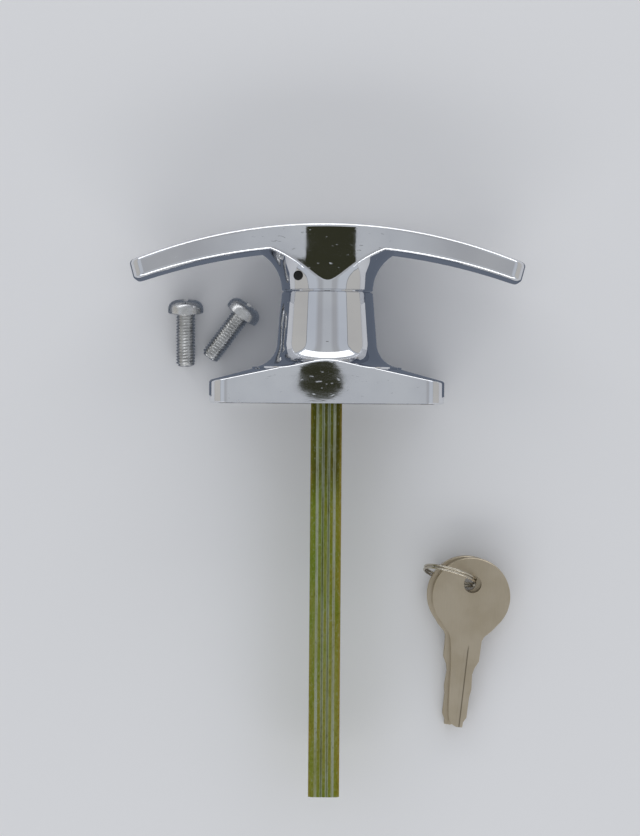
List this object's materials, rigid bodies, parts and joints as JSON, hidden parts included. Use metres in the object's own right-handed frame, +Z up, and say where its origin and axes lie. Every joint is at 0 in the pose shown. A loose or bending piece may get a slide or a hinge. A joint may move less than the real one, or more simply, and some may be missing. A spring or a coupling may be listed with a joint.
{
  "type": "garage door t handle lock",
  "caption": "T handle lock with a tapered neck on a rectangular base plate, a square grooved spindle, a keyed plug that throws a locking bolt, keys on a ring and fixing screws.",
  "frame": {"origin": "where the spindle's axis crosses the base plate's back face, which meets the door", "axes": "+Y along the spindle towards the handle's front, +X along the bar and the base plate, +Z up from the surface on which the lock lies on its side"},
  "size_m": [0.1014, 0.1475, 0.03],
  "materials": {
    "chrome": "polished",
    "yellow_zinc": "satin",
    "nickel": "satin",
    "brass": "satin",
    "steel": "satin",
    "spring_steel": "satin"
  },
  "bodies": {
    "base": {"base_plate": "chrome"},
    "handle": {"t_handle": "chrome", "lock_barrel": "chrome", "barrel_pin": "steel", "thrust_washer": "steel", "stem_clip": "spring_steel", "spindle": "yellow_zinc", "spindle_pin": "steel"},
    "plug": {"lock_plug": "nickel", "plug_clip": "spring_steel", "wafer_springs": "spring_steel"},
    "bolt": {"locking_bolt": "steel"},
    "ring": {"key_ring": "steel"},
    "front_key": {"key_front": "nickel"},
    "back_key": {"key_back": "nickel"},
    "screws": {"fixing_screws": "steel"},
    "wafer_1": {"wafer_1": "brass"},
    "wafer_2": {"wafer_2": "brass"},
    "wafer_3": {"wafer_3": "brass"},
    "wafer_4": {"wafer_4": "brass"},
    "wafer_5": {"wafer_5": "brass"}
  },
  "joints": [
    {"name": "handle_turn", "type": "hinge", "parent": "base", "child": "handle", "pos_m": [0, 0, 0], "axis": [0, 1, 0], "range_deg": [-90, 90]},
    {"name": "plug_turn", "type": "hinge", "parent": "handle", "child": "plug", "pos_m": [0, 0.03, 0], "axis": [0, 1, 0], "range_deg": [0, 90]},
    {"name": "bolt_slide", "type": "slide", "parent": "handle", "child": "bolt", "axis": [1, 0, 0], "range_m": [0, 0.0017]},
    {"name": "wafer_1_slide", "type": "slide", "parent": "plug", "child": "wafer_1", "axis": [0, 0, 1], "range_m": [0, 0.0006]},
    {"name": "wafer_2_slide", "type": "slide", "parent": "plug", "child": "wafer_2", "axis": [0, 0, 1], "range_m": [0, 0.0006]},
    {"name": "wafer_3_slide", "type": "slide", "parent": "plug", "child": "wafer_3", "axis": [0, 0, 1], "range_m": [0, 0.0006]},
    {"name": "wafer_4_slide", "type": "slide", "parent": "plug", "child": "wafer_4", "axis": [0, 0, 1], "range_m": [0, 0.0006]},
    {"name": "wafer_5_slide", "type": "slide", "parent": "plug", "child": "wafer_5", "axis": [0, 0, 1], "range_m": [0, 0.0006]},
    {"name": "key_ring_lift", "type": "slide", "parent": "base", "child": "ring", "axis": [0, 0, 1], "range_m": [0, 0.03]},
    {"name": "key_front_swing", "type": "hinge", "parent": "ring", "child": "front_key", "pos_m": [0.03851, -0.04674, -0.00818], "axis": [-0.0097, -0.0919, 0.9957], "range_deg": [-35, 35]},
    {"name": "key_back_swing", "type": "hinge", "parent": "ring", "child": "back_key", "pos_m": [0.03724, -0.04639, -0.01047], "axis": [-0.0097, -0.0919, 0.9957], "range_deg": [-7, 35]},
    {"name": "fixing_screws_lift", "type": "slide", "parent": "base", "child": "screws", "axis": [0, 0, 1], "range_m": [0, 0.03]}
  ],
  "couplings": [
    {"joint": "plug_turn", "follows": "bolt_slide", "rad_per_m": 923.5}
  ]
}
